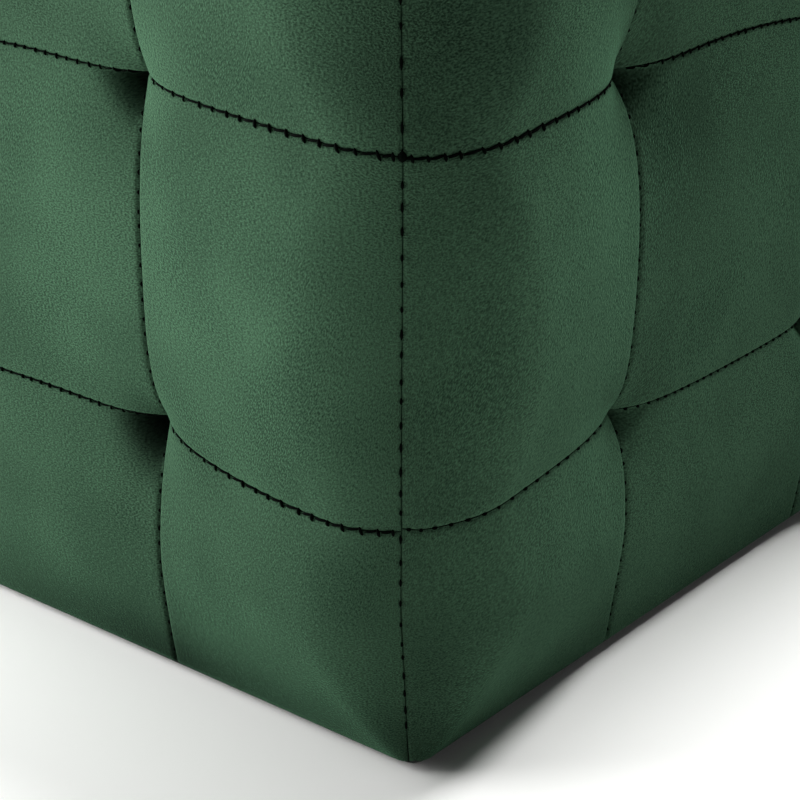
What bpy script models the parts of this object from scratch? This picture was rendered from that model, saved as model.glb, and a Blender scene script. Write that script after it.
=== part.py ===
"""Cube pouf stool: one filled cube of velvet, quilted into a grid of cells and tufted where the seams cross.

The cover is cut as six panels, and each is modelled with the filling behind it, so that together they
fill the pouf. Across a side run two seams, and up it run two more. Where they cross, the cover is pulled
in to a deep tuft, and the cell between them stands out as a low crown. The cells beside a corner run
round it without being pulled in. The lower edge is straight and nearly sharp, and the underside is flat.

Metres, +Z up. The origin is in the middle of the underside, and the front looks along -Y.
"""

from math import cos, exp, hypot, pi, radians, sin

import bmesh
import bpy
from mathutils import Matrix, Vector

# The box that the panels are padded out from. The hem is a quarter of a small roll, half of it underside.
HALF_WIDTH = 0.169
SIDE_HEIGHT = 0.330
HEM_RADIUS = 0.010
CENTRE = Vector((0, 0, 0.160))

# Seams up a side and both ways across the top lie this far from its middle.
COLUMN_SEAM = 0.064

# A row for each line across a side: its height, how far the cover stands out there at the corner of the
# pouf, at the upright seams and, beyond those, in the middle of a side, how round the corner is, and how
# much higher the line runs in the middle of a side.
LINES = (
    # height, corner, seam, middle, corner_radius, rise
    (0.000, 0.0000, 0.0000, 0.0000, HEM_RADIUS, 0.000),
    (0.087, 0.0140, 0.0010, 0.0010, 0.038, 0.003),
    (0.198, 0.0170, 0.0020, 0.0010, 0.034, 0.005),
    (SIDE_HEIGHT, 0.0120, 0.0060, 0.0020, 0.040, 0.000),
)
# A row for each space between two lines: how much more of each there is halfway up.
SPACES = (
    # corner, seam, middle, corner_radius, rise
    (0.0040, 0.0025, 0.0010, 0.016, 0.000),
    (0.0055, 0.0025, 0.0010, 0.018, 0.000),
    (0.0055, 0.0020, 0.0010, 0.030, 0.000),
)
HEIGHT, CORNER, SEAM, MIDDLE, CORNER_RADIUS, RISE = range(6)

# The top, from its tufts and the seams between them.
TOP_TUFT = -0.0050
TOP_SEAM_ARCH = 0.0080
TOP_CELL_ARCH = 0.0090
TOP_DOME = 0.0100

# Each cell's own crown, which falls away steeply at its seams.
CELL_CROWN = 0.0025
CROWN_POWER = 0.5

# A tuft's pit.
PIT_DEPTH = 0.0120
PIT_REACH = 0.0120

# The dip along the seam that joins two panels.
EDGE_DIP = 0.0008
EDGE_DIP_REACH = 0.0035

# Each panel stands this far out from its neighbours, which parts them by 0.3 mm.
PANEL_SHIFT = 0.00021

STEPS_PER_CELL = 10
STEPS = 3 * STEPS_PER_CELL
SHARP_ANGLE = radians(60)

VELVET_GREEN = (0.035, 0.090, 0.055, 1.0)
UNDERSIDE_BLACK = (0.012, 0.014, 0.013, 1.0)


def clear_scene():
    for obj in list(bpy.data.objects):
        bpy.data.objects.remove(obj)


def to_edge(across):
    """0 at an upright seam, and 1 at the edge of the panel, which it meets square."""
    share = (abs(across) - COLUMN_SEAM) / (HALF_WIDTH - COLUMN_SEAM)
    return sin(pi / 2 * min(max(share, 0), 1))


def to_middle(across):
    """0 at an upright seam, and 1 in the middle of the panel."""
    return cos(pi / 2 * min(abs(across) / COLUMN_SEAM, 1))


def quilted(seam, edge, middle, across):
    """A value across a panel, from its value at the seams and edges and its rise in the middle."""
    return seam + (edge - seam) * to_edge(across) + middle * to_middle(across)


def space_at(height):
    """The space between two lines that a height is in, and how far up that space it is."""
    space = sum(height > line[HEIGHT] for line in LINES[1:-1])
    low, high = LINES[space][HEIGHT], LINES[space + 1][HEIGHT]
    return space, (height - low) / (high - low)


def up_side(height, column):
    """A value of LINES at a height: it runs smoothly from line to line, fuller between them."""
    space, share = space_at(height)
    # The hem holds the cover in, so it springs out from there at once, and eases between other lines.
    ease = sin(pi / 2 * share) if space == 0 else (1 - cos(pi * share)) / 2
    start, end = LINES[space][column], LINES[space + 1][column]
    return start + (end - start) * ease + SPACES[space][column - 1] * sin(pi * share)


def crown_up(height):
    """The share of a cell's crown at a height up a side. It runs on over the top edge."""
    space, share = space_at(height)
    turn = pi / 2 if space == len(SPACES) - 1 else pi
    return max(sin(turn * share), 0) ** CROWN_POWER


def crown_across(across):
    """The share of a cell's crown across a panel. It runs on round the edges."""
    return max(to_edge(across), to_middle(across), 0) ** CROWN_POWER


def pit(across, along, tuft_lines):
    """How far a point is drawn in by the tufts, which lie on the column seams at tuft_lines."""
    nearest = min(
        hypot(abs(across) - COLUMN_SEAM, along - line) for line in tuft_lines
    )
    return PIT_DEPTH * exp(-nearest / PIT_REACH)


def side_outset(across, height):
    surface = quilted(
        up_side(height, SEAM),
        up_side(height, CORNER),
        up_side(height, MIDDLE),
        across,
    )
    crown = CELL_CROWN * crown_up(height) * crown_across(across)
    tuft_heights = [line[HEIGHT] for line in LINES[1:-1]]
    return surface + crown - pit(across, height, tuft_heights)


def top_edge_outset(across):
    """How far out, and how far up, the top edge stands from the box's."""
    _, corner, seam, middle, *_ = LINES[-1]
    return quilted(seam, corner, middle, across) + CELL_CROWN * crown_across(across)


def top_outset(across, along):
    _, corner, seam, middle, *_ = LINES[-1]
    surface = quilted(
        quilted(TOP_TUFT, seam, TOP_SEAM_ARCH, along),
        quilted(seam, corner, middle, along),
        quilted(TOP_SEAM_ARCH, middle, TOP_CELL_ARCH - TOP_SEAM_ARCH, along),
        across,
    )
    dome = TOP_DOME * cos(pi / 2 * across / HALF_WIDTH) * cos(pi / 2 * along / HALF_WIDTH)
    crown = CELL_CROWN * crown_across(across) * crown_across(along)
    return surface + dome + crown - pit(across, along, (-COLUMN_SEAM, COLUMN_SEAM))


def rounded(inner, beyond, radius, to_seam):
    """The point on the round edge over an inner point, dipped where the panels are sewn together."""
    out = Vector(beyond).normalized()
    dip = EDGE_DIP * exp(-((to_seam / EDGE_DIP_REACH) ** 2))
    return Vector(inner) + out * (radius - dip)


def spread(across, by):
    """A place across a panel once its edges have moved out, which leaves its column seams where they are."""
    share = max(abs(across) - COLUMN_SEAM, 0) / (HALF_WIDTH - COLUMN_SEAM)
    return across + by * share * (1 if across > 0 else -1)


def past(value, limit):
    """How far a value lies past a limit, on either side, with its sign."""
    excess = max(abs(value) - limit, 0)
    return excess if value > 0 else -excess


def side_point(across, height):
    """A point on the front panel's face."""
    radius = up_side(height, CORNER_RADIUS)
    corner = side_outset(HALF_WIDTH, height)
    outset = side_outset(across, height)
    edge = top_edge_outset(across)
    x = spread(across, corner)
    above = max(height - LINES[-2][HEIGHT], 0) / (SIDE_HEIGHT - LINES[-2][HEIGHT])
    z = height + edge * above + up_side(height, RISE) * to_middle(across)
    over_x = past(x, HALF_WIDTH + corner - radius)
    over_z = max(z - (SIDE_HEIGHT + edge - radius), 0) - max(radius - z, 0)
    y = -(HALF_WIDTH + outset - radius)
    to_seam = min(HALF_WIDTH - abs(across), SIDE_HEIGHT - height)
    return rounded((x - over_x, y, z - over_z), (over_x, -radius, over_z), radius, to_seam)


def top_point(across, along):
    """A point on the top panel's face."""
    radius = LINES[-1][CORNER_RADIUS]
    x = spread(across, top_edge_outset(along))
    y = spread(along, top_edge_outset(across))
    over_x = past(x, HALF_WIDTH + top_edge_outset(along) - radius)
    over_y = past(y, HALF_WIDTH + top_edge_outset(across) - radius)
    z = SIDE_HEIGHT + top_outset(across, along) - radius
    to_seam = HALF_WIDTH - max(abs(across), abs(along))
    return rounded((x - over_x, y - over_y, z), (over_x, over_y, radius), radius, to_seam)


def underside_point(across, along):
    """A point on the flat underside, which turns up at its edges."""
    over_x = past(across, HALF_WIDTH - HEM_RADIUS)
    over_y = past(along, HALF_WIDTH - HEM_RADIUS)
    inner = (across - over_x, along - over_y, HEM_RADIUS)
    return rounded(inner, (over_x, over_y, -HEM_RADIUS), HEM_RADIUS, HALF_WIDTH)


def knots(marks):
    """The grid's lines, from one mark to the next, closer together near each."""
    lines = [marks[0]]
    for start, end in zip(marks, marks[1:]):
        for step in range(1, STEPS_PER_CELL + 1):
            share = (1 - cos(pi * step / STEPS_PER_CELL)) / 2
            lines.append(start + (end - start) * share)
    return lines


ACROSS = knots((-HALF_WIDTH, -COLUMN_SEAM, COLUMN_SEAM, HALF_WIDTH))
UP = knots([line[HEIGHT] for line in LINES])


def panel_mesh(name, point, second_lines):
    """A grid shaped by the point function, closed by flat sides that run in to the pouf's centre."""
    bm = bmesh.new()
    bmesh.ops.create_grid(bm, x_segments=STEPS, y_segments=STEPS, size=STEPS / 2)
    for vert in bm.verts:
        column, row = (round(value + STEPS / 2) for value in vert.co.xy)
        vert.co = point(ACROSS[column], second_lines[row])
    rim = [edge for edge in bm.edges if edge.is_boundary]
    drawn = bmesh.ops.extrude_edge_only(bm, edges=rim)["geom"]
    inner = [part for part in drawn if isinstance(part, bmesh.types.BMVert)]
    bmesh.ops.pointmerge(bm, verts=inner, merge_co=CENTRE)
    bmesh.ops.recalc_face_normals(bm, faces=bm.faces)
    mesh = bpy.data.meshes.new(name)
    bm.to_mesh(mesh)
    bm.free()
    mesh.shade_smooth()
    mesh.set_sharp_from_angle(angle=SHARP_ANGLE)
    return mesh


def fabric(name, colour, roughness):
    material = bpy.data.materials.new(name)
    material.use_nodes = True
    shader = material.node_tree.nodes["Principled BSDF"]
    shader.inputs["Base Color"].default_value = colour
    shader.inputs["Roughness"].default_value = roughness
    shader.inputs["Metallic"].default_value = 0.0
    return material


def add_panel(name, mesh, material, parent, location, quarter_turns=0):
    obj = bpy.data.objects.new(name, mesh)
    bpy.context.scene.collection.objects.link(obj)
    obj.parent = parent
    obj.location = location
    obj.rotation_euler.z = quarter_turns * pi / 2
    if not mesh.materials:
        mesh.materials.append(material)
    return obj


def build():
    clear_scene()
    pouf = bpy.data.objects.new("pouf", None)
    bpy.context.scene.collection.objects.link(pouf)
    velvet = fabric("green_velvet", VELVET_GREEN, 0.85)
    base_cloth = fabric("underside_cloth", UNDERSIDE_BLACK, 0.95)

    side_mesh = panel_mesh("side_panel", side_point, UP)
    outward = Vector((0, -PANEL_SHIFT, PANEL_SHIFT))
    for turns, name in enumerate(("front_panel", "right_panel", "back_panel", "left_panel")):
        location = Matrix.Rotation(turns * pi / 2, 3, "Z") @ outward
        add_panel(name, side_mesh, velvet, pouf, location, turns)

    top_mesh = panel_mesh("top_panel", top_point, ACROSS)
    add_panel("top_panel", top_mesh, velvet, pouf, (0, 0, 2 * PANEL_SHIFT))
    underside_mesh = panel_mesh("underside_panel", underside_point, ACROSS)
    add_panel("underside_panel", underside_mesh, base_cloth, pouf, (0, 0, 0))


build()
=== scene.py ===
"""Cube pouf stool in bottle-green velvet: its looks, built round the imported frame.

The cover is five padded velvet panels and a flat underside. Each panel is quilted into three columns
and three rows of cells, tufted where the seams cross, and sewn with a dark thread.

Metres, +Z up. The origin is in the middle of the underside, and the front looks along -Y.
"""

from math import cos, pi, radians, sin, sqrt

import bpy
import numpy as np
from bpy.props import FloatProperty, FloatVectorProperty, PointerProperty
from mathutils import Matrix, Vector, noise


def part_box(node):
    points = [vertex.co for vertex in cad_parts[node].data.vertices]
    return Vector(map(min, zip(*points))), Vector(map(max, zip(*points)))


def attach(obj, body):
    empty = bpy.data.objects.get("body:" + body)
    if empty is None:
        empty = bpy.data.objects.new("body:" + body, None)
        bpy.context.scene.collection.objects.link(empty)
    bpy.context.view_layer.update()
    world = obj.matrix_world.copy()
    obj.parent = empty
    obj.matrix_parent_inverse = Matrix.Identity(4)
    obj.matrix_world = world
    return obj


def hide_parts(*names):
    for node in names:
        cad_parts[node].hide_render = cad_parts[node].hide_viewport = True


bl_info = {
    "name": "Cube pouf stool",
    "version": (1, 0, 0),
    "blender": (4, 5, 0),
    "location": "3D View > Sidebar > Pouf",
    "description": "Dresses a cube pouf in quilted velvet, sews it and sets it on a studio floor",
    "category": "Object",
}

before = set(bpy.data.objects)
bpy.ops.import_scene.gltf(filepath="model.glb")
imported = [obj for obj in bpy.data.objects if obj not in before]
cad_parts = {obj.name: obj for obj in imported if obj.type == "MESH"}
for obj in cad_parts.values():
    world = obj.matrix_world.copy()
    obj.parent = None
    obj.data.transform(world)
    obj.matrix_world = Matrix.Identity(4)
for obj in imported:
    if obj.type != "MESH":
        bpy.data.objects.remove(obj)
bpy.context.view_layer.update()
MM = 0.001

# The box that the panels are padded out from. The hem is a quarter of a small roll, half of it underside.
HEM_RADIUS = 0.010
HALF_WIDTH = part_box("underside_panel")[1].x + HEM_RADIUS * (1 - sqrt(0.5))
SIDE_HEIGHT = 0.330
# The sides of every panel's solid run in to this point.
CENTRE = (0, 0, 0.160)

# Seams up a side and both ways across the top lie this far from its middle.
COLUMN_SEAM = 0.064

# A row for each line across a side: its height, how far the cover stands out there at the corner of the
# pouf, at the upright seams and, beyond those, in the middle of a side, how round the corner is, and how
# much lower the line runs there.
LINES = np.array((
    # height, corner, seam, middle, corner_radius, drop
    (0.000, 0.0000, 0.0000, 0.0000, HEM_RADIUS, 0.0000),
    (0.087, 0.0150, 0.0025, -0.0010, 0.040, 0.0005),
    (0.198, 0.0180, 0.0040, -0.0020, 0.036, 0.0017),
    (SIDE_HEIGHT, 0.0130, 0.0070, 0.0010, 0.040, 0.0000),
))
# A row for each space between two lines: how much more of each there is halfway up.
SPACES = np.array((
    # corner, seam, middle, corner_radius, drop
    (0.0045, 0.0020, 0.0000, 0.018, 0.000),
    (0.0060, 0.0020, 0.0000, 0.022, 0.000),
    (0.0060, 0.0010, 0.0000, 0.036, 0.000),
))
HEIGHT, CORNER, SEAM, MIDDLE, CORNER_RADIUS, DROP = range(6)
LINE_HEIGHTS = LINES[:, HEIGHT]
TUFT_HEIGHTS = LINE_HEIGHTS[1:-1]
TUFT_COLUMNS = np.array((-COLUMN_SEAM, COLUMN_SEAM))

# No two sides are tufted quite alike. A row for the lower tufts of a panel and one for the upper, in
# millimetres: how deep they are, how far from them that reaches, towards the panel's edge, towards its
# middle, up and down, and how deep the pocket under them is. Then the level seam through them: how much
# higher it runs in the middle of the panel, how far it sags on its way to the corner, and how far the tufts
# hold it up. Below nothing, it runs lower in the middle and arches on its way. Last, how much further in
# the upright seams and what is between them lie there, and how far from the tufts painted shade darkens
# the pocket under them.
PULL, OUTWARD, INWARD, UP, DOWN, POCKET, RISE, SAG, HOLD, DRAWN, POCKET_SHADE_REACH = range(11)
SIDE_TUFTS = {
    "front": ((8, 8, 11, 10, 25, 22, 4, 2, 4, 0, 18), (7.5, 8, 11, 12, 25, 22, 5.5, -1.5, 4, 0, 12)),
    "right": ((8, 14, 9, 8, 10, 12, -2, -2, 0, 1, 5), (13, 14, 9, 17, 13, 14, 4, -1, 0, 2, 6)),
    "back": ((9, 10, 9, 9, 16, 16, 4, 1, 2, 1, 12), (9, 9, 8, 12, 14, 18, 5, 1, 1, 0, 14)),
    "left": ((10, 9, 8, 9, 14, 18, 5, 0, 2, 0, 14), (8, 11, 9, 11, 18, 15, 7, 1, 2, 1, 10)),
}
TOP_TUFTS = ((12, 9, 9, 9, 9, 0, 0, 0, 0, 0, 4), (11, 9, 9, 9, 9, 0, 0, 0, 0, 0, 4))

# Painted light and shade: broad patches painted paler or darker into the pile's colour. A row for each
# place: how far across a panel and up it, how far it reaches each way, in millimetres, and how much paler
# the pile is painted there, as a share of its colour. The last row of a side is its hem, painted darker as
# shade.
HEM_PAINTED_SHADE = (0, 0, 400, 12, -0.18)
PAINTED_SHADING = {
    "front": (
        (30, 160, 45, 95, 0.24),
        (20, 224, 30, 24, -0.34),
        (112, 140, 28, 50, 0.22),
        (160, 34, 14, 34, -0.12),
        (70, 0, 95, 20, -0.85),
    ),
    "right": (
        (-121, 137, 32, 50, 0.26),
        (-135, 222, 18, 26, -0.20),
        (-98, 214, 14, 22, 0.26),
        (-155, 36, 22, 26, -0.32),
        (-32, 31, 26, 26, 0.16),
        (-42, 176, 28, 26, -0.34),
        (-12, 116, 26, 40, -0.10),
        HEM_PAINTED_SHADE,
    ),
    "back": ((-70, 150, 45, 60, 0.18), (40, 220, 50, 40, -0.16), (110, 50, 40, 40, 0.14), HEM_PAINTED_SHADE),
    "left": ((-20, 60, 60, 40, 0.16), (90, 160, 40, 60, -0.18), (-120, 230, 45, 45, 0.14), HEM_PAINTED_SHADE),
    "top": ((-60, 40, 60, 50, 0.15), (70, -50, 50, 60, -0.15), (90, 100, 40, 40, 0.12)),
}

# The top, from its tufts and the seams between them.
TOP_TUFT = -0.0050
TOP_SEAM_ARCH = 0.0080
TOP_CELL_ARCH = 0.0090
TOP_DOME = 0.0100

# Every side is moved this far out and up, and the top up twice as far, so that panels lie 0.3 mm apart.
PANEL_SHIFT = 0.00021

# Each cell's face is a grid with this many steps each way, closer together near the seams. The flat
# underside needs few.
CELL_STEPS = 80
UNDERSIDE_STEPS = 12
CROWDING = 0.84
# The cover's slope is taken between points this far to each side, and edges bent further than the angle
# are shaded sharp.
SLOPE_STEP = 0.0002
SHARP_ANGLE = radians(60)


# ---------------------------------------------------------------- sizes and colours that a user changes


def linear(colour):
    """An sRGB hex colour as linear red, green and blue."""
    channels = [int(colour[i : i + 2], 16) / 255 for i in (1, 3, 5)]
    return tuple(c / 12.92 if c <= 0.04045 else ((c + 0.055) / 1.055) ** 2.4 for c in channels)


def length(name, description, default):
    return FloatProperty(name=name, description=description, default=default, unit="LENGTH", precision=5)


def power(name, description, default):
    return FloatProperty(name=name, description=description, default=default, unit="POWER")


def colour(name, description, default):
    return FloatVectorProperty(
        name=name, description=description, default=linear(default), subtype="COLOR", min=0, max=1
    )


class PoufForm(bpy.types.PropertyGroup):
    cell_crown: length("Cell crown", "How far the filling pushes a cell out from its seams", 0.0008)
    corner_grip: FloatProperty(
        name="Corner grip",
        description="How sharply a level seam creases the cover at the corner, where 1 is as at a tuft",
        default=0.25,
        subtype="FACTOR",
        min=0,
        max=1,
    )
    pocket_reach: length("Pocket reach", "How far from a tuft the pocket under it opens out", 0.010)
    corner_shift: length("Corner seam shift", "How far round from the corner its seam is sewn", 0.0082)
    hem_shift: length("Corner seam shift at the hem", "The same, at the lower edge", 0.0040)
    lumps: length("Lumps", "How uneven the filling is", 0.0006)


class PoufSewing(bpy.types.PropertyGroup):
    thread: length("Thread", "Thickness of the seam thread", 0.00090)
    pitch: length("Stitch pitch", "From one stitch to the next along a seam", 0.0058)
    tick: length("Cross stitch", "Length of the short stitches that cross a level seam", 0.0022)
    tick_thickness: length("Cross stitch thickness", "Where the thread doubles back over itself", 0.0011)
    dot: length("Dot", "Length of the stitches that show along a seam between two columns", 0.0014)
    dash: length("Dash", "Length of the stitches that show along a corner seam", 0.0024)
    groove: length("Groove", "How deep the thread pulls a seam into the pile", 0.0003)
    colour: colour("Thread colour", "Dyed polyester thread", "#020503")


class PoufCloth(bpy.types.PropertyGroup):
    pile: colour("Pile", "The velvet's palest hairs", "#36503d")
    pile_shade: colour("Pile in shade", "The velvet's darkest hairs", "#1c2d21")
    # A near-black colour painted down in the tufts' pockets as painted shade.
    pocket_shade: colour("Painted pocket shade", "The velvet down in a tuft's pocket", "#030504")
    sheen: colour("Sheen", "The colour that the hairs throw back at a low angle", "#86c89c")
    underside: colour("Underside", "The cloth under the pouf", "#1c1f1d")


class PoufStage(bpy.types.PropertyGroup):
    key: power("Left light", "Power of the soft light close by on the left", 30)
    over: power("High light", "Power of the soft light high up behind the pouf", 76)
    side: power("Right light", "Power of the soft light low on the right", 2.4)
    fill: FloatProperty(
        name="Room light", description="Strength of the pale room round the pouf", default=0.02
    )
    floor: colour("Floor", "The plain pale floor", "#f4f4f2")


# ---------------------------------------------------------------- the padded form


def share_of(value, start, end):
    return np.clip((value - start) / (end - start), 0, 1)


def to_edge(across):
    """0 at an upright seam, and 1 at the edge of the panel, which it meets square."""
    return np.sin(pi / 2 * share_of(abs(across), COLUMN_SEAM, HALF_WIDTH))


def to_middle(across):
    """0 at an upright seam, and 1 in the middle of the panel."""
    return np.cos(pi / 2 * share_of(abs(across), 0, COLUMN_SEAM))


def quilted(seam, edge, middle, across):
    """A value across a panel, from its value at the seams and edges and its rise in the middle."""
    return seam + (edge - seam) * to_edge(across) + middle * to_middle(across)


def space_at(height):
    """The space between two lines that a height is in, and how far up that space it is."""
    space = np.searchsorted(TUFT_HEIGHTS, height)
    low, high = LINE_HEIGHTS[space], LINE_HEIGHTS[space + 1]
    return space, (height - low) / (high - low)


def up_side(height, column):
    """A value of LINES at a height: it runs smoothly from line to line, fuller between them."""
    space, share = space_at(height)
    # The hem holds the cover in, so it springs out from there at once, and eases between other lines.
    ease = np.where(space == 0, np.sin(pi / 2 * share), (1 - np.cos(pi * share)) / 2)
    start, end = LINES[space, column], LINES[space + 1, column]
    return start + (end - start) * ease + SPACES[space, column - 1] * np.sin(pi * share)


# How near a seam the cover starts to drop into it, how softly a pocket's lip turns in, and how far along a
# level seam the tufts hold it up.
SEAM_REACH = 0.0009
POCKET_EDGE = 0.0010
HOLD_REACH = 0.022


def off_seam(distance):
    """0 on a seam and 1 away from it: the cover drops into a seam over its last few millimetres."""
    return 1 - np.exp(-abs(distance) / SEAM_REACH)


def crown_up(height):
    """The share of a cell's crown at a height up a side. It runs on over the top edge."""
    return np.prod([off_seam(height - line) for line in LINE_HEIGHTS[:-1]], axis=0)


def crown_across(across):
    """The share of a cell's crown across a panel. It runs on round the edges."""
    return off_seam(abs(across) - COLUMN_SEAM)


# How far from a tuft its crease in the cover runs on.
GRIP_REACH = 0.030


def crown_held(form, across, height):
    """The same up a side, where a level seam creases the cover less and less away from the tufts."""
    away = abs(abs(across) - COLUMN_SEAM)
    grip = form.corner_grip + (1 - form.corner_grip) * np.exp(-away / GRIP_REACH)
    space, share = space_at(height)
    turn = np.where(space == len(SPACES) - 1, pi / 2, pi)
    smooth = np.sin(turn * share) ** 2
    return grip * crown_up(height) + (1 - grip) * smooth


def pit(form, tufts, across, along, tuft_lines):
    """How far a point is drawn in by the tufts, which lie on the column seams at tuft_lines."""
    outward = abs(across) - COLUMN_SEAM
    depths = []
    for line, tuft in zip(tuft_lines, tufts):
        above = along - line
        aside = outward / np.where(outward > 0, tuft[OUTWARD], tuft[INWARD])
        dip = tuft[PULL] * np.exp(-np.hypot(aside, above / np.where(above > 0, tuft[UP], tuft[DOWN])))
        # Below a tuft, the middle column is tucked into a pocket under the cell above.
        inside = 1 - np.exp(-np.maximum(-outward, 0) / POCKET_EDGE)
        under = 1 - np.exp(-np.maximum(-above, 0) / POCKET_EDGE)
        away = (abs(outward) + abs(above)) / form.pocket_reach
        depths.append(dip + tuft[POCKET] * inside * under * np.exp(-(away**2)))
    return np.max(depths, axis=0)


def tufted(tufts, height, column):
    """A value of a side's tufts at a height, which is nothing at the hem and at the top edge."""
    space, share = space_at(height)
    line = np.pad(tufts[:, column], 1)
    return line[space] + (line[space + 1] - line[space]) * (1 - np.cos(pi * share)) / 2


def side_outset(form, tufts, across, height):
    seam = up_side(height, SEAM) - tufted(tufts, height, DRAWN)
    surface = quilted(seam, up_side(height, CORNER), up_side(height, MIDDLE), across)
    crown = form.cell_crown * crown_held(form, across, height) * crown_across(across)
    return surface + crown - pit(form, tufts, across, height, TUFT_HEIGHTS)


def top_edge_outset(form, across):
    """How far out, and how far up, the top edge stands from the box's."""
    _, corner, seam, middle, *_ = LINES[-1]
    return quilted(seam, corner, middle, across) + form.cell_crown * crown_across(across)


def top_outset(form, tufts, across, along):
    _, corner, seam, middle, *_ = LINES[-1]
    surface = quilted(
        quilted(TOP_TUFT, seam, TOP_SEAM_ARCH, along),
        quilted(seam, corner, middle, along),
        quilted(TOP_SEAM_ARCH, middle, TOP_CELL_ARCH - TOP_SEAM_ARCH, along),
        across,
    )
    dome = TOP_DOME * np.cos(pi / 2 * across / HALF_WIDTH) * np.cos(pi / 2 * along / HALF_WIDTH)
    crown = form.cell_crown * crown_across(across) * crown_across(along)
    return surface + dome + crown - pit(form, tufts, across, along, TUFT_COLUMNS)


def stacked(x, y, z):
    return np.stack(np.broadcast_arrays(x, y, z), axis=-1).astype(float)


def unit(vectors):
    return vectors / np.linalg.norm(vectors, axis=-1, keepdims=True)


def rounded(inner, beyond, radius):
    """The points on a round edge, over points inside it."""
    return stacked(*inner) + unit(stacked(*beyond)) * np.asarray(radius)[..., None]


def spread(across, by):
    """A place across a panel once its edges have moved out, which leaves its column seams where they are."""
    return across + by * share_of(abs(across), COLUMN_SEAM, HALF_WIDTH) * np.sign(across)


def past(value, limit):
    """How far a value lies past a limit, on either side, with its sign."""
    return np.maximum(abs(value) - limit, 0) * np.sign(value)


def sway(tufts, across, height):
    """How much higher than its own height a level seam runs, and the cover with it."""
    rise = tufted(tufts, height, RISE) * to_middle(across)
    sag = tufted(tufts, height, SAG) * np.sin(pi * share_of(abs(across), COLUMN_SEAM, HALF_WIDTH))
    hold = tufted(tufts, height, HOLD) * np.exp(-abs(abs(across) - COLUMN_SEAM) / HOLD_REACH)
    return rise - sag + hold - up_side(height, DROP) * to_edge(across)


def side_face(form, tufts, across, height):
    """Points of the front panel's padded face, as far as the pouf's corners."""
    radius = up_side(height, CORNER_RADIUS)
    corner = side_outset(form, tufts, HALF_WIDTH, height)
    edge = top_edge_outset(form, across)
    x = spread(across, corner)
    above = share_of(height, LINE_HEIGHTS[-2], SIDE_HEIGHT)
    z = height + edge * above + sway(tufts, across, height)
    over_x = past(x, HALF_WIDTH + corner - radius)
    over_z = np.maximum(z - (SIDE_HEIGHT + edge - radius), 0) - np.maximum(radius - z, 0)
    y = -(HALF_WIDTH + side_outset(form, tufts, across, height) - radius)
    return rounded((x - over_x, y, z - over_z), (over_x, -radius, over_z), radius)


def turned(points, quarters):
    """Points turned round the pouf by quarters of a turn."""
    x, y, z = np.moveaxis(points, -1, 0)
    for _ in range(quarters % 4):
        x, y = -y, x
    return stacked(x, y, z)


# A corner's seam has run all the way round to its place by this height.
SHIFT_HEIGHT = 0.060


def side_body(form, tufts, across, height):
    """The same, for a panel whose edges are sewn a little round from the corners."""
    shift = form.hem_shift + (form.corner_shift - form.hem_shift) * share_of(height, 0, SHIFT_HEIGHT)
    place = across - shift * share_of(abs(across), COLUMN_SEAM, HALF_WIDTH)
    before = place < -HALF_WIDTH
    points = side_face(form, tufts, np.where(before, place + 2 * HALF_WIDTH, place), height)
    return np.where(before[..., None], turned(points, -1), points)


def top_body(form, tufts, across, along):
    radius = LINES[-1, CORNER_RADIUS]
    x = spread(across, top_edge_outset(form, along))
    y = spread(along, top_edge_outset(form, across))
    over_x = past(x, HALF_WIDTH + top_edge_outset(form, along) - radius)
    over_y = past(y, HALF_WIDTH + top_edge_outset(form, across) - radius)
    z = SIDE_HEIGHT + top_outset(form, tufts, across, along) - radius
    return rounded((x - over_x, y - over_y, z), (over_x, over_y, radius), radius)


def underside_body(form, tufts, across, along):
    """The flat underside, which turns up at its edges."""
    over_x = past(across, HALF_WIDTH - HEM_RADIUS)
    over_y = past(along, HALF_WIDTH - HEM_RADIUS)
    return rounded((across - over_x, along - over_y, HEM_RADIUS), (over_x, over_y, -HEM_RADIUS), HEM_RADIUS)


# ---------------------------------------------------------------- panels


class Panel:
    """A panel of the cover: where its node is, how its face is padded, and where its seams run."""

    def __init__(self, place, cloth, body, marks, tufts=(), quarters=0, shift=(0, 0, 0), sign=1):
        self.place = place
        self.name = f"{place}_{cloth}"
        self.node = f"{place}_panel"
        self.body = body
        self.marks = marks
        self.tufts = MM * np.array(tufts, float)
        self.quarters = quarters
        self.shift = shift
        self.sign = sign


ACROSS = (-HALF_WIDTH, -COLUMN_SEAM, COLUMN_SEAM, HALF_WIDTH)
SIDES = [
    Panel(place, "velvet", side_body, LINE_HEIGHTS, tufts, turns, (0, -PANEL_SHIFT, PANEL_SHIFT))
    for turns, (place, tufts) in enumerate(SIDE_TUFTS.items())
]
TOP = Panel("top", "velvet", top_body, ACROSS, TOP_TUFTS, shift=(0, 0, 2 * PANEL_SHIFT))
UNDERSIDE = Panel("underside", "cloth", underside_body, ACROSS, sign=-1)

# The filling's lumps: their size, and the place in the noise that they are read from.
LUMP_SIZE = 0.060
LUMP_PLACE = Vector((3.1, 1.7, 5.3))
# The hem holds the cover straight up to the first height, and lets it go by the second.
HEM_HELD, HEM_FREE = 0.002, 0.040
GROOVE_REACH = 0.0008


def groove(sewing, panel, across, along):
    """How far the thread pulls the cover in along the seams and at the panel's edges."""
    to_seams = [abs(abs(across) - COLUMN_SEAM), HALF_WIDTH - abs(across)]
    to_seams += [abs(along - mark) for mark in panel.marks[1:-1]]
    to_seams += [panel.marks[-1] - along]
    return sewing.groove * np.max([np.exp(-((d / GROOVE_REACH) ** 2)) for d in to_seams], axis=0)


def lump(points):
    """The filling's unevenness at some points, from about -1 to 1."""
    flat = points.reshape(-1, 3) / LUMP_SIZE
    values = [noise.noise(Vector(point) + LUMP_PLACE) for point in flat]
    return np.reshape(values, points.shape[:-1])


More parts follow.
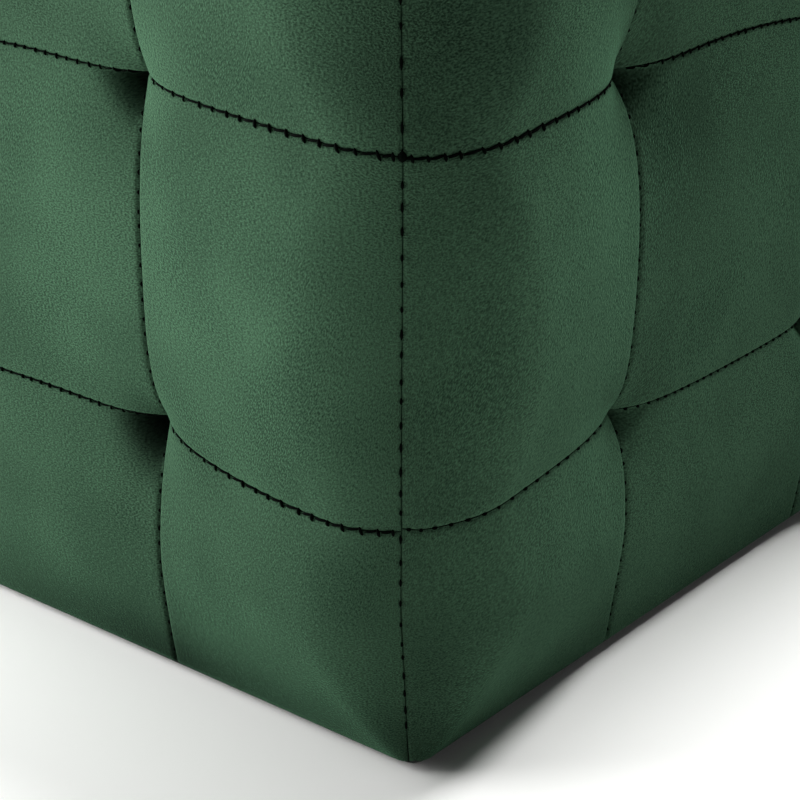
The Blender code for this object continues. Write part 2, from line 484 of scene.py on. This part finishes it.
def cover(panel, across, along):
    """The points of a panel's face and the directions out from them."""
    pouf = bpy.context.scene.pouf
    form, sewing = pouf.form, pouf.sewing
    across, along = np.broadcast_arrays(across, along)
    low, high = np.clip([along - SLOPE_STEP, along + SLOPE_STEP], panel.marks[0], panel.marks[-1])

    def body(across, along):
        return panel.body(form, panel.tufts, across, along)

    points = body(across, along)
    slope_across = body(across + SLOPE_STEP, along) - body(across - SLOPE_STEP, along)
    slope_along = body(across, high) - body(across, low)
    out = unit(np.cross(slope_across, slope_along)) * panel.sign
    points = turned(points + panel.shift, panel.quarters)
    out = turned(out, panel.quarters)
    if panel is not UNDERSIDE:
        inset = groove(sewing, panel, across, along)
        points += out * (form.lumps * hem_free(points) * lump(points) - inset)[..., None]
    return points, out


def hem_free(points):
    """0 at the floor, where the cover is held straight by its hem, and 1 from a little above it."""
    return share_of(points[..., 2], HEM_HELD, HEM_FREE)


def grid_lines(marks, steps):
    """Lines from one mark to the next, closer together near each."""
    share = np.arange(steps) / steps
    share = share - CROWDING * np.sin(2 * pi * share) / (2 * pi)
    lines = [start + (end - start) * share for start, end in zip(marks, marks[1:])]
    return np.append(np.concatenate(lines), marks[-1])


def mesh_object(name, points, faces, material):
    mesh = bpy.data.meshes.new(name)
    mesh.from_pydata(points, [], faces)
    mesh.validate()
    mesh.materials.append(material)
    mesh.shade_smooth()
    mesh.set_sharp_from_angle(angle=SHARP_ANGLE)
    obj = bpy.data.objects.new(name, mesh)
    bpy.context.scene.collection.objects.link(obj)
    return obj


# How far in from the seams the painted shade in a tuft's pocket ramps up to full.
POCKET_SHADE_EDGE = 0.0010


def pocket_shade_share(panel, across, along):
    """How much painted shade darkens the pockets under the tufts, from 0 to 1."""
    inward = COLUMN_SEAM - abs(across)
    pocket_shade = np.zeros(across.shape)
    for line, tuft in zip(panel.marks[1:-1], panel.tufts):
        below = line - along
        away = np.hypot(inward, below) / tuft[POCKET_SHADE_REACH]
        inside = share_of(inward, 0, POCKET_SHADE_EDGE) * share_of(below, 0, POCKET_SHADE_EDGE)
        pocket_shade = np.maximum(pocket_shade, inside * np.exp(-(away**3)))
    return pocket_shade


def painted_shading_share(panel, across, along):
    """How much paler the pile's colour is painted as light and shade, where 1 is the velvet's own colour."""
    pale = np.ones(across.shape)
    for *place, paler in PAINTED_SHADING.get(panel.place, ()):
        x, y, wide, high = MM * np.array(place)
        pale += paler * np.exp(-(((across - x) / wide) ** 2) - ((along - y) / high) ** 2)
    return pale


def point_attribute(obj, name, values):
    """Writes a value for each point of a panel's face. The last point is inside the pouf."""
    attribute = obj.data.attributes.new(name, "FLOAT", "POINT")
    attribute.data.foreach_set("value", np.append(values, 0).astype(np.float32))


def panel_object(panel, steps, material):
    """A panel's padded face, closed by sides that run in to the pouf's centre as the filling does."""
    across, along = np.meshgrid(grid_lines(ACROSS, steps), grid_lines(panel.marks, steps), indexing="ij")
    points, _ = cover(panel, across, along)
    rows, columns = across.shape
    index = np.arange(rows * columns).reshape(rows, columns)
    quads = np.stack([index[:-1, :-1], index[1:, :-1], index[1:, 1:], index[:-1, 1:]], axis=-1).reshape(-1, 4)
    rim = np.concatenate([index[:-1, 0], index[-1, :-1], index[:0:-1, -1], index[0, :0:-1]])
    sides = np.stack([np.roll(rim, -1), rim, np.full(len(rim), index.size)], axis=-1)
    if panel.sign < 0:
        quads, sides = quads[:, ::-1], sides[:, ::-1]
    centre = turned(np.array(CENTRE) + panel.shift, panel.quarters)
    every_point = np.vstack([points.reshape(-1, 3), centre])
    obj = mesh_object(panel.name, every_point, quads.tolist() + sides.tolist(), material)
    # Where each point lies on the flat cloth, in metres, which the weave and the nap follow.
    cloth = obj.data.attributes.new("cloth", "FLOAT_VECTOR", "POINT")
    flat = np.zeros((len(every_point), 3), np.float32)
    flat[:-1] = stacked(across, along, panel.quarters).reshape(-1, 3)
    cloth.data.foreach_set("vector", flat.ravel())
    # Painted shade for the tufts' pockets.
    point_attribute(obj, "pocket_shade", pocket_shade_share(panel, across, along))
    # Light and shade painted into the pile's colour in broad patches, paler and darker, and darker at the
    # hem.
    point_attribute(obj, "painted_shading", painted_shading_share(panel, across, along))
    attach(obj, "root")
    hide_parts(panel.node)
    return obj


# ---------------------------------------------------------------- sewing


class Sewing:
    """Threads, gathered into one mesh."""

    SIDES = 8

    def __init__(self):
        self.points, self.faces, self.count = [], [], 0

    def add(self, path, out, radii):
        """A thread along a path, which lies flat on the cover with out pointing away from it."""
        along = unit(np.gradient(path, axis=0))
        aside = unit(np.cross(along, out))
        angles = 2 * pi * np.arange(self.SIDES) / self.SIDES
        rings = np.cos(angles)[:, None, None] * aside + np.sin(angles)[:, None, None] * np.cross(aside, along)
        rings = np.moveaxis(path + rings * np.asarray(radii)[:, None], 0, 1)
        ends = len(path) - 1
        for ring in range(ends):
            for side in range(self.SIDES):
                step = (side + 1) % self.SIDES
                a, b = self.count + ring * self.SIDES, self.count + (ring + 1) * self.SIDES
                self.faces.append((a + side, a + step, b + step, b + side))
        self.faces.append(tuple(self.count + side for side in reversed(range(self.SIDES))))
        self.faces.append(tuple(self.count + ends * self.SIDES + side for side in range(self.SIDES)))
        self.points.append(rings.reshape(-1, 3))
        self.count += rings.shape[0] * self.SIDES

    def finish(self, name, material):
        obj = mesh_object(name, np.vstack(self.points), self.faces, material)
        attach(obj, "root")
        return obj


def seam_run(start, end, pitch):
    """The places of the stitches along a seam."""
    count = round((end - start) / pitch)
    return start + (np.arange(count) + 0.5) * (end - start) / count


# The dark lines down in the seams have a ring of points this often, and stitches have these shares of their
# thickness.
THREAD_STEP = 0.0015
TAPER = np.array((0.3, 0.85, 1.0, 0.85, 0.3))
# How much of its thickness the dark line down in a seam keeps, which is partly the thread and partly a
# painted shadow of the seam's groove, and how far stitches stand up.
DRAWN_DOWN = 0.4
DASH_LIFT, DOT_LIFT, TICK_LIFT = 0.0005, 0.0004, 0.0006
# The last stitches before a tuft are drawn in out of sight, over the first length, and in a dotted seam's
# outer columns over the second.
TUFT_BARE, OUTER_BARE = 0.004, 0.008
# Of the level seams' stitches: where they start after the last hole and how far they climb across the
# seam on their way to the next one, how far the cross stitch there reaches above and below the seam, and
# how far it leans over. As shares of the cross stitch's length.
DASH_START, DASH_CLIMB, TICK_ABOVE, TICK_BELOW, TICK_LEAN = 0.5, 0.35, 0.42, 0.58, 0.3
# Where the filling pushes least, in the middle columns, the stitches are finer.
FINE_PITCH, FINE_TICK, FINE_THREAD = 0.82, 0.62, 0.7
# Near a tuft the thread is drawn tight, and less of its thickness shows.
TIGHT, TIGHT_REACH = 0.55, 0.050
# Stitches are further apart down a corner, and a knot ties off the upper level seam there.
CORNER_PITCH = 1.22
KNOT, KNOT_THICKNESS = 0.0028, 0.0026
# How uneven the sewing is: how far a needle hole or a dot strays along its seam, and by what share of its
# length a cross stitch or a dot is longer or shorter.
HOLE_STRAY, DOT_STRAY = 0.0014, 0.0016
TICK_UNEVEN, DOT_UNEVEN = 0.5, 0.8
# How fast the unevenness changes along a seam, and the place in the noise that it is read from.
WOBBLE_RATES, WOBBLE_PLACE = (611.3, 97.1), 4.7


def stitch(sewing, panel, swap, start, end, thickness, lift):
    """One short stitch over the cover, thinner at its ends where it goes in. Its ends are given along the
    seam and across it. swap is true where the seam runs the panel's second way, from lower to upper edge."""
    share = np.linspace(0, 1, len(TAPER))
    run, line = (a + (b - a) * share for a, b in zip(start, end))
    points, out = cover(panel, *((line, run) if swap else (run, line)))
    arch = lift * (1 - (2 * share - 1) ** 2)
    sewing.add(points + out * arch[:, None], out, TAPER * thickness / 2)


def wobble(place, size):
    """A small unevenness from one stitch to the next, the same each time. Its callers add a line's own
    place once, twice or three times, so that no two lines or uses of it are alike."""
    return size * noise.noise(Vector((*(place * rate for rate in WOBBLE_RATES), WOBBLE_PLACE)))


def thread_and_seam_shadow(sewing, panel, swap, line, start, end, thickness):
    """A dark line down in a seam: partly the thread that shows there, partly a painted shadow of the seam's
    groove.
    """
    run = np.linspace(start, end, round((end - start) / THREAD_STEP))
    line = np.full(len(run), line)
    points, out = cover(panel, *((line, run) if swap else (run, line)))
    sewing.add(points, out, np.full(len(run), thickness / 2))


def slack(across):
    """The share of a thread's thickness that shows along a level seam."""
    return TIGHT + (1 - TIGHT) * share_of(abs(abs(across) - COLUMN_SEAM), 0, TIGHT_REACH)


def crossed_seam(sewing, panel, line, style):
    """A lockstitched seam: a dash to each needle hole, and a short stitch that crosses the seam there."""
    for start, end in zip(ACROSS, ACROSS[1:]):
        fine = start < 0 < end
        start += 0 if start == -HALF_WIDTH else TUFT_BARE
        end -= 0 if end == HALF_WIDTH else TUFT_BARE
        thread_and_seam_shadow(sewing, panel, False, line, start, end, DRAWN_DOWN * style.thread)
        holes = seam_run(start, end, style.pitch * (FINE_PITCH if fine else 1))
        holes = [hole + wobble(hole + 3 * line, HOLE_STRAY) for hole in holes]
        for last, hole in zip((start, *holes), holes):
            shown = slack(hole)
            tick = style.tick * (FINE_TICK if fine else shown) * (1 + wobble(hole + 2 * line, TICK_UNEVEN))
            lean = tick * (TICK_LEAN + wobble(hole + line, TICK_UNEVEN))
            low, high = line - TICK_BELOW * tick, line + TICK_ABOVE * tick
            rise = DASH_CLIMB * tick / 2
            ends = (last + DASH_START * tick, line - rise), (hole, line + rise)
            if ends[0][0] < hole:
                thickness = style.thread * shown * (FINE_THREAD if fine else 1)
                stitch(sewing, panel, False, *ends, thickness, DASH_LIFT)
            ends = (hole - lean / 2, high), (hole + lean / 2, low)
            stitch(sewing, panel, False, *ends, style.tick_thickness * shown, TICK_LIFT)


def plain_seam(sewing, panel, swap, line, start, end, pitch, long, thickness):
    """A seam of which only the dots or dashes of its stitches show."""
    for place in seam_run(start, end, pitch):
        middle = place + wobble(place + line, DOT_STRAY)
        half = long * (1 + wobble(place + 2 * line, DOT_UNEVEN)) / 2
        stitch(sewing, panel, swap, (middle - half, line), (middle + half, line), thickness, DOT_LIFT)


def dotted_seam(sewing, panel, line, style):
    """A level seam sewn from the other side, so that only a dot of thread shows at each needle hole."""
    for start, end in zip(ACROSS, ACROSS[1:]):
        fine = start < 0 < end
        bare = TUFT_BARE if fine else OUTER_BARE
        start += 0 if start == -HALF_WIDTH else bare
        end -= 0 if end == HALF_WIDTH else bare
        thread_and_seam_shadow(sewing, panel, False, line, start, end, DRAWN_DOWN * style.thread)
        pitch = style.pitch * (FINE_PITCH if fine else 1)
        plain_seam(sewing, panel, False, line, start, end, pitch, style.dot, style.tick_thickness)


def upright_seam(sewing, panel, line, style):
    """A seam between two columns, drawn tight, with a dark line down in it, partly thread and partly painted
    shadow of its groove, and a dot over each hole.
    """
    for low, high in zip(panel.marks, panel.marks[1:]):
        low, high = low + TUFT_BARE, high - TUFT_BARE
        thread_and_seam_shadow(sewing, panel, True, line, low, high, DRAWN_DOWN * style.thread)
        plain_seam(sewing, panel, True, line, low, high, style.pitch, style.dot, style.tick_thickness)


# The lower and the upper level seam of each side.
LEVEL_SEAMS = {
    "front": (crossed_seam, crossed_seam),
    "right": (dotted_seam, crossed_seam),
    "back": (crossed_seam, dotted_seam),
    "left": (dotted_seam, crossed_seam),
}


# ---------------------------------------------------------------- materials


def add_node(tree, kind, inputs=None, **settings):
    """Adds a node. An input is a value, or the socket that feeds it."""
    node = tree.nodes.new(kind)
    for name, value in settings.items():
        setattr(node, name, value)
    for name, value in (inputs or {}).items():
        if isinstance(value, bpy.types.NodeSocket):
            tree.links.new(value, node.inputs[name])
        else:
            node.inputs[name].default_value = value
    return node


def new_material(name, values):
    """A material with one shader, and the values that are the same all over it."""
    material = bpy.data.materials.new(name)
    material.use_nodes = True
    tree = material.node_tree
    tree.nodes.clear()
    shader = add_node(tree, "ShaderNodeBsdfPrincipled", values)
    add_node(tree, "ShaderNodeOutputMaterial", {"Surface": shader.outputs["BSDF"]})
    return material, tree, shader


def add_bump(tree, shader, height, strength, millimetres):
    """Raises a surface by a pattern's height, which is so many millimetres at its full value."""
    values = {"Height": height, "Strength": strength, "Distance": millimetres * MM}
    bump = add_node(tree, "ShaderNodeBump", values)
    tree.links.new(bump.outputs["Normal"], shader.inputs["Normal"])


def per_metre(millimetres):
    """A pattern's scale from the size that it repeats at."""
    return 1 / (millimetres * MM)


# The pile's strokes: how wide they are, in millimetres, drawn coarser than real hairs so that they show, and
# how many times as long.
STROKE_WIDTH, STROKE_LENGTH = 0.45, 2.1


def cut_pile_velvet(cloth):
    """Cut-pile polyester velvet. Its upright hairs drink light that meets them end on and throw it back
    at a low angle, so the cover is darker where it faces the eye and paler where it turns away."""
    material, tree, shader = new_material(
        "cut_pile_velvet",
        {
            "Roughness": 0.9,
            "Specular IOR Level": 0.02,
            "Sheen Weight": 0.3,
            "Sheen Roughness": 0.35,
            "Sheen Tint": (*cloth.sheen, 1),
        },
    )
    place = add_node(tree, "ShaderNodeTexCoord").outputs["Object"]
    flat = add_node(tree, "ShaderNodeAttribute", attribute_name="cloth").outputs["Vector"]
    # Broad patches where a hand has brushed the pile one way or another, and where it is paler.
    brushed, worn = (
        add_node(
            tree,
            "ShaderNodeMapRange",
            {
                "Value": add_node(
                    tree, "ShaderNodeTexNoise", {"Vector": place, "Scale": per_metre(size), "Detail": 1.0}
                ).outputs["Fac"],
                "From Min": 0.35,
                "From Max": 0.65,
                "To Min": low,
                "To Max": high,
            },
        ).outputs["Result"]
        for size, low, high in ((75, 0.0, 1.0), (38, -0.12, 0.12))
    )
    # The hairs lie in short strokes, one way or the other.
    strokes = []
    for lean in (radians(-30), radians(-85)):
        combed = add_node(
            tree,
            "ShaderNodeMapping",
            {"Vector": flat, "Rotation": (0, 0, lean), "Scale": (1, STROKE_LENGTH, 1)},
            vector_type="TEXTURE",
        )
        stroke = add_node(
            tree,
            "ShaderNodeTexNoise",
            {"Vector": combed.outputs[0], "Scale": per_metre(STROKE_WIDTH), "Detail": 1.0},
        )
        strokes.append(stroke.outputs["Fac"])
    pile = add_node(
        tree, "ShaderNodeMix", {"Factor": brushed, "A": strokes[0], "B": strokes[1]}, data_type="FLOAT"
    )
    # The noise lies mostly between these values, and is spread out over the whole way from dark to pale.
    spread_out = add_node(
        tree,
        "ShaderNodeMapRange",
        {"Value": pile.outputs["Result"], "From Min": 0.34, "From Max": 0.66, "To Min": 0.0, "To Max": 1.0},
    )
    shade = add_node(
        tree, "ShaderNodeMath", {0: spread_out.outputs["Result"], 1: worn}, operation="ADD", use_clamp=True
    )
    tint = add_node(
        tree,
        "ShaderNodeMix",
        {"Factor": shade.outputs[0], "A": (*cloth.pile_shade, 1), "B": (*cloth.pile, 1)},
        data_type="RGBA",
    )
    # Painted light and shade: the colour is made paler or darker in broad patches, and darker at the hem.
    painted_shading = add_node(tree, "ShaderNodeAttribute", attribute_name="painted_shading").outputs["Fac"]
    painted_tint = add_node(
        tree, "ShaderNodeVectorMath", {0: tint.outputs["Result"], "Scale": painted_shading}, operation="SCALE"
    )
    # Down in a tuft's pocket the colour is painted near black, as painted shade.
    pocket_shade = add_node(tree, "ShaderNodeAttribute", attribute_name="pocket_shade").outputs["Fac"]
    pocketed = add_node(
        tree,
        "ShaderNodeMix",
        {"Factor": pocket_shade, "A": painted_tint.outputs["Vector"], "B": (*cloth.pocket_shade, 1)},
        data_type="RGBA",
    )
    tree.links.new(pocketed.outputs["Result"], shader.inputs["Base Color"])
    add_bump(tree, shader, pile.outputs["Result"], 1.0, STROKE_WIDTH)
    return material


def spun_thread(sewing):
    """Spun polyester thread, dyed nearly black: dull, with a faint twist every half millimetre."""
    material, tree, shader = new_material(
        "spun_polyester_thread",
        {"Base Color": (*sewing.colour, 1), "Roughness": 0.9, "Specular IOR Level": 0.02},
    )
    place = add_node(tree, "ShaderNodeTexCoord").outputs["Object"]
    twist = add_node(tree, "ShaderNodeTexNoise", {"Vector": place, "Scale": per_metre(0.5), "Detail": 1.0})
    add_bump(tree, shader, twist.outputs["Fac"], 0.4, 0.1)
    return material


# A wave texture repeats this many times in each unit of its scale.
WAVES_PER_UNIT = 10 / pi
# From one thread of the base cloth to the next, in millimetres.
WEAVE_PITCH = 0.754


def woven_base_cloth(cloth):
    """Plain-woven polyester under the pouf: matt, with an even weave of fine threads."""
    material, tree, shader = new_material(
        "woven_base_cloth",
        {"Base Color": (*cloth.underside, 1), "Roughness": 0.95, "Specular IOR Level": 0.2},
    )
    flat = add_node(tree, "ShaderNodeAttribute", attribute_name="cloth").outputs["Vector"]
    waves = [
        add_node(
            tree,
            "ShaderNodeTexWave",
            {"Vector": flat, "Scale": per_metre(WEAVE_PITCH) / WAVES_PER_UNIT},
            bands_direction=way,
        ).outputs["Fac"]
        for way in "XY"
    ]
    weave = add_node(tree, "ShaderNodeMath", {0: waves[0], 1: waves[1]}, operation="MULTIPLY")
    add_bump(tree, shader, weave.outputs[0], 0.6, 0.2)
    return material


def painted_floor(stage):
    """A plain matt studio floor."""
    material, *_ = new_material(
        "painted_floor", {"Base Color": (*stage.floor, 1), "Roughness": 0.9, "Specular IOR Level": 0.1}
    )
    return material


# ---------------------------------------------------------------- the stage

# The photo's view: the camera's place, the way it looks and its lens.
CAMERA_PLACE = (0.4901, -0.5689, 0.3293)
CAMERA_AZIMUTH = radians(39.33)
CAMERA_ELEVATION = radians(21.75)
CAMERA_LENS = 89.13
SENSOR_WIDTH = 36.0
NEAREST_SEEN = 0.01
# The lights aim at the pouf's middle, and each is a square this wide.
LIGHT_TARGET = Vector((0, 0, 0.18))
LIGHT_SIZE = 1.0
# How far the floor reaches from the pouf, and how far under it the floor lies, so that the two don't meet.
FLOOR_REACH, FLOOR_DROP = 4.0, 0.0002


def from_middle(azimuth, elevation, distance):
    """A place round the pouf: azimuth 0 is in front of it and 90 on its right."""
    azimuth, elevation = radians(azimuth), radians(elevation)
    way = Vector((sin(azimuth) * cos(elevation), -cos(azimuth) * cos(elevation), sin(elevation)))
    return LIGHT_TARGET + way * distance


def add_light(name, place, power):
    light = bpy.data.lights.new(name, "AREA")
    light.energy = power
    light.size = LIGHT_SIZE
    obj = bpy.data.objects.new(name, light)
    obj.location = place
    obj.rotation_euler = (LIGHT_TARGET - place).to_track_quat("-Z", "Y").to_euler()
    # A view from the other side would show the light itself.
    obj.visible_camera = False
    bpy.context.scene.collection.objects.link(obj)


def add_camera():
    camera = bpy.data.cameras.new("camera")
    camera.lens = CAMERA_LENS
    camera.sensor_width = SENSOR_WIDTH
    camera.clip_start = NEAREST_SEEN
    obj = bpy.data.objects.new("camera", camera)
    way = Vector((
        -sin(CAMERA_AZIMUTH) * cos(CAMERA_ELEVATION),
        cos(CAMERA_AZIMUTH) * cos(CAMERA_ELEVATION),
        -sin(CAMERA_ELEVATION),
    ))
    obj.location = CAMERA_PLACE
    obj.rotation_euler = way.to_track_quat("-Z", "Y").to_euler()
    bpy.context.scene.collection.objects.link(obj)
    bpy.context.scene.camera = obj


# ---------------------------------------------------------------- operators


class POUF_OT_velvet(bpy.types.Operator):
    """Pads the four sides and the top in velvet"""

    bl_idname = "pouf.velvet"
    bl_label = "Velvet panels"

    def execute(self, context):
        material = cut_pile_velvet(context.scene.pouf.cloth)
        for panel in (*SIDES, TOP):
            obj = panel_object(panel, CELL_STEPS, material)
        return {"FINISHED"}


class POUF_OT_underside(bpy.types.Operator):
    """Closes the pouf with its flat underside"""

    bl_idname = "pouf.underside"
    bl_label = "Underside"

    def execute(self, context):
        obj = panel_object(UNDERSIDE, UNDERSIDE_STEPS, woven_base_cloth(context.scene.pouf.cloth))
        return {"FINISHED"}


class POUF_OT_stitches(bpy.types.Operator):
    """Sews the seams between the cells and between the panels"""

    bl_idname = "pouf.stitches"
    bl_label = "Stitches"

    def execute(self, context):
        style = context.scene.pouf.sewing
        thread = spun_thread(style)
        for panel in SIDES:
            level, upright, corner = Sewing(), Sewing(), Sewing()
            for line, sew_level in zip(TUFT_HEIGHTS, LEVEL_SEAMS[panel.place]):
                sew_level(level, panel, line, style)
            knot = [(HALF_WIDTH, TUFT_HEIGHTS[-1] + end * KNOT) for end in (-0.5, 0.5)]
            stitch(corner, panel, False, *knot, KNOT_THICKNESS, 0.0)
            for line in TUFT_COLUMNS:
                upright_seam(upright, panel, line, style)
            edge = HALF_WIDTH, HEM_RADIUS, SIDE_HEIGHT, CORNER_PITCH * style.pitch, style.dash, style.thread
            plain_seam(corner, panel, True, *edge)
            level.finish(f"{panel.place}_level_stitches", thread)
            upright.finish(f"{panel.place}_upright_stitches", thread)
            corner.finish(f"{panel.place}_corner_stitches", thread)
        top = Sewing()
        for line in TUFT_COLUMNS:
            crossed_seam(top, TOP, line, style)
            upright_seam(top, TOP, line, style)
        for line in (-HALF_WIDTH, HALF_WIDTH):
            edge = line, -HALF_WIDTH, HALF_WIDTH, CORNER_PITCH * style.pitch, style.dash, style.thread
            plain_seam(top, TOP, False, *edge)
            plain_seam(top, TOP, True, *edge)
        top.finish("top_stitches", thread)
        return {"FINISHED"}


class POUF_OT_stage(bpy.types.Operator):
    """Sets the pouf on a pale floor in soft light, seen from the photo's angle"""

    bl_idname = "pouf.stage"
    bl_label = "Stage"

    def execute(self, context):
        scene, stage = context.scene, context.scene.pouf.stage
        scene.view_settings.view_transform = "Standard"
        world = scene.world or bpy.data.worlds.new("room")
        scene.world = world
        world.use_nodes = True
        background = world.node_tree.nodes["Background"]
        background.inputs["Color"].default_value = (1, 1, 1, 1)
        background.inputs["Strength"].default_value = stage.fill
        signs = ((-1, -1), (1, -1), (1, 1), (-1, 1))
        corners = [(x * FLOOR_REACH, y * FLOOR_REACH, -FLOOR_DROP) for x, y in signs]
        floor = mesh_object("floor", corners, [(0, 1, 2, 3)], painted_floor(stage))
        add_light("left_light", from_middle(azimuth=-55, elevation=5, distance=0.8), stage.key)
        add_light("high_light", from_middle(azimuth=180, elevation=68, distance=1.7), stage.over)
        add_light("right_light", from_middle(azimuth=120, elevation=8, distance=1.7), stage.side)
        add_camera()
        return {"FINISHED"}


class PoufSettings(bpy.types.PropertyGroup):
    form: PointerProperty(type=PoufForm)
    sewing: PointerProperty(type=PoufSewing)
    cloth: PointerProperty(type=PoufCloth)
    stage: PointerProperty(type=PoufStage)


OPERATORS = (POUF_OT_velvet, POUF_OT_underside, POUF_OT_stitches, POUF_OT_stage)


class POUF_PT_sidebar(bpy.types.Panel):
    bl_idname = "POUF_PT_sidebar"
    bl_label = "Cube pouf"
    bl_space_type = "VIEW_3D"
    bl_region_type = "UI"
    bl_category = "Pouf"

    def draw(self, context):
        for operator in OPERATORS:
            self.layout.operator(operator.bl_idname)
        for name in ("form", "sewing", "cloth", "stage"):
            group = getattr(context.scene.pouf, name)
            box = self.layout.box()
            for setting in type(group).__annotations__:
                box.prop(group, setting)


CLASSES = (PoufForm, PoufSewing, PoufCloth, PoufStage, PoufSettings, *OPERATORS, POUF_PT_sidebar)


def register():
    for item in CLASSES:
        bpy.utils.register_class(item)
    bpy.types.Scene.pouf = PointerProperty(type=PoufSettings)


def unregister():
    del bpy.types.Scene.pouf
    for item in reversed(CLASSES):
        bpy.utils.unregister_class(item)


def main():
    register()
    bpy.ops.pouf.stage()
    bpy.ops.pouf.velvet()
    bpy.ops.pouf.underside()
    bpy.ops.pouf.stitches()


if __name__ == "__main__":
    main()
